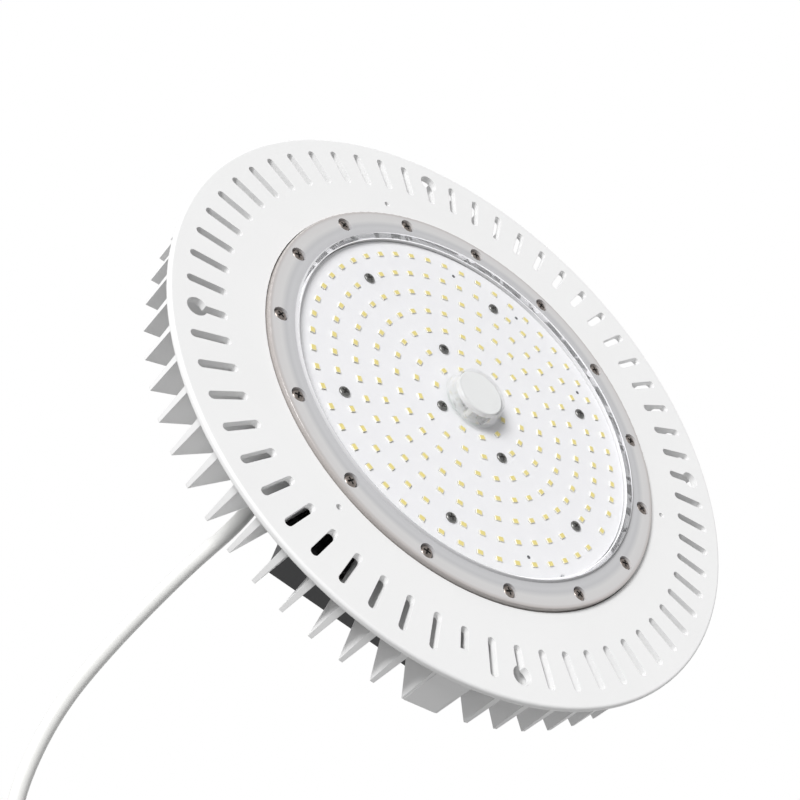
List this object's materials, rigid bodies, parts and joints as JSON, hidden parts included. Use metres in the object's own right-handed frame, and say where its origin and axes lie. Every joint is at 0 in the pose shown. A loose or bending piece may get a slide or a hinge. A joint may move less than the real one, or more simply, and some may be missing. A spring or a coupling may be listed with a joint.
{
  "type": "high bay light",
  "caption": "Round finned high bay light with a slotted and keyholed flange, a clear lens with a sensor dome, a driver on its back and a mains lead.",
  "frame": {"origin": "centre of the flange's front face, on the circle of the four keyholes", "axes": "+Z from the lens side to the back of the light, where the fins and driver are; +X through one keyhole"},
  "size_m": [0.4427, 0.3676, 0.1499],
  "materials": {
    "casting_white": "satin white powder coat on a die casting",
    "clear_lens": "clear polycarbonate",
    "grey_rubber": "silicone",
    "screw_steel": "stainless",
    "board_white": "white solder mask on aluminium",
    "thermal_grey": "matt",
    "led_yellow": "phosphor in silicone",
    "sensor_grey": "satin",
    "circuit_green": "solder mask",
    "plastic_black": "matt",
    "plastic_white": "matt",
    "wire_black": "insulation",
    "wire_red": "insulation",
    "case_black": "black anodised",
    "tray_black": "black powder coat on steel",
    "zinc_steel": "zinc plated",
    "core_metal": "plain",
    "box_white": "satin",
    "gland_white": "satin",
    "lead_white": "soft sheath",
    "core_brown": "insulation",
    "core_blue": "insulation",
    "core_green_yellow": "insulation",
    "ferrule_tin": "tinned"
  },
  "bodies": {
    "root": {"heat_sink": "casting_white", "lens": "clear_lens", "lens_seal": "grey_rubber", "lens_screws": "screw_steel", "thermal_pad": "thermal_grey", "led_board": "board_white", "led_chips": "led_yellow", "board_screws": "screw_steel", "sensor_cover": "sensor_grey", "sensor_board": "circuit_green", "sensor_posts": "plastic_white", "board_connector": "plastic_black", "sensor_wires": "wire_black", "led_wires": "wire_red", "hub_grommet": "grey_rubber", "driver_tray": "tray_black", "driver_case": "case_black", "driver_front_cap": "case_black", "driver_rear_cap": "case_black", "tray_screws": "zinc_steel", "foot_screws": "zinc_steel", "cap_screws": "zinc_steel", "driver_board": "circuit_green", "driver_standoffs": "plastic_white", "transformer": "core_metal", "choke": "core_metal", "capacitors": "plastic_black", "heat_spreader": "core_metal", "terminal_bracket": "zinc_steel", "terminal_box": "box_white", "terminal_lid_seal": "grey_rubber", "terminal_lid": "box_white", "lid_screws": "zinc_steel", "terminal_block": "plastic_white", "gland_body": "gland_white", "gland_seal": "grey_rubber", "gland_nut": "gland_white", "gland_locknut": "gland_white", "inner_lead": "lead_white", "link_wires": "wire_black", "mains_lead": "lead_white", "core_brown": "core_brown", "core_blue": "core_blue", "core_earth": "core_green_yellow", "ferrules": "ferrule_tin", "inner_cores": "core_brown"}
  },
  "joints": []
}
